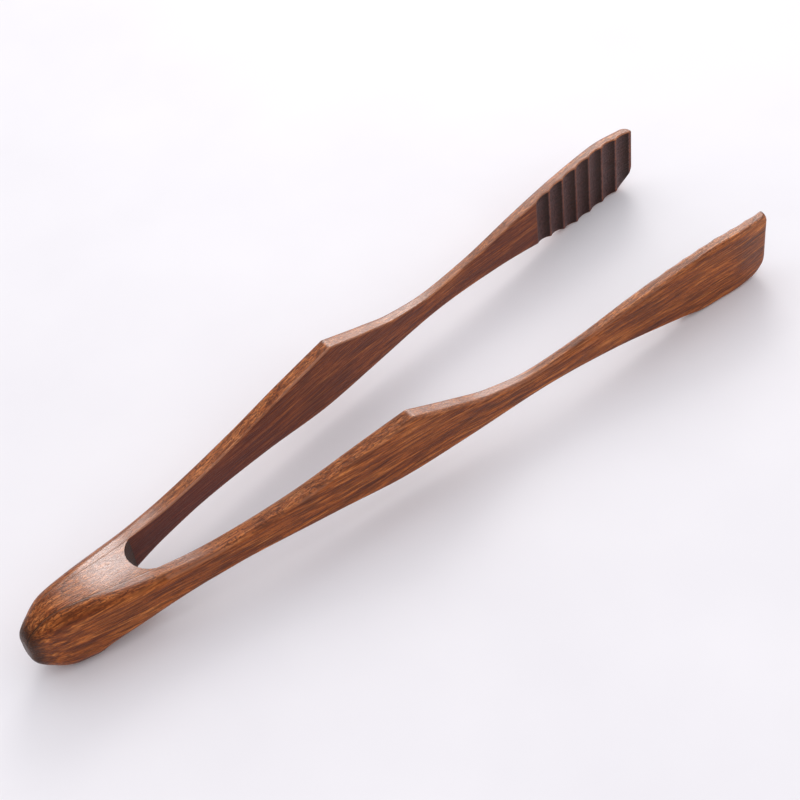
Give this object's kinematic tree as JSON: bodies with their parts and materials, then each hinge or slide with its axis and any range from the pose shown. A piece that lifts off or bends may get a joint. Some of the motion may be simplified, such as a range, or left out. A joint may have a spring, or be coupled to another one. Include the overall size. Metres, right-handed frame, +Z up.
{
  "type": "kitchen tongs",
  "caption": "One-handed wooden tongs: springy carved arms glued to a wedge block, with a finger stop on each and toothed paddle tips.",
  "frame": {"origin": "on the surface the tongs stand on, under the middle of the bounding box, midway between the arms", "axes": "+Z up, +X from the head to the toothed tips, +Y towards the left arm"},
  "size_m": [0.28, 0.071, 0.03],
  "materials": {
    "left_arm_wood": "dark red-brown hardwood, satin varnish, fine grain along the arm",
    "right_arm_wood": "dark red-brown hardwood, satin varnish, fine grain along the arm",
    "wedge_wood": "dark red-brown hardwood, satin varnish, end grain at the butt and the slot end"
  },
  "bodies": {
    "head": {"wedge_block": "wedge_wood", "left_arm_root": "left_arm_wood", "right_arm_root": "right_arm_wood"},
    "left_arm": {"left_arm": "left_arm_wood"},
    "right_arm": {"right_arm": "right_arm_wood"}
  },
  "joints": [
    {"name": "left_arm_flex", "type": "hinge", "parent": "head", "child": "left_arm", "pos_m": [-0.0565, 0.016, 0], "axis": [0, 0, -1], "range_deg": [-2, 8.9], "stiffness_Nm_per_rad": 19},
    {"name": "right_arm_flex", "type": "hinge", "parent": "head", "child": "right_arm", "pos_m": [-0.0565, -0.016, 0], "axis": [0, 0, 1], "range_deg": [-2, 8.9], "stiffness_Nm_per_rad": 19}
  ]
}
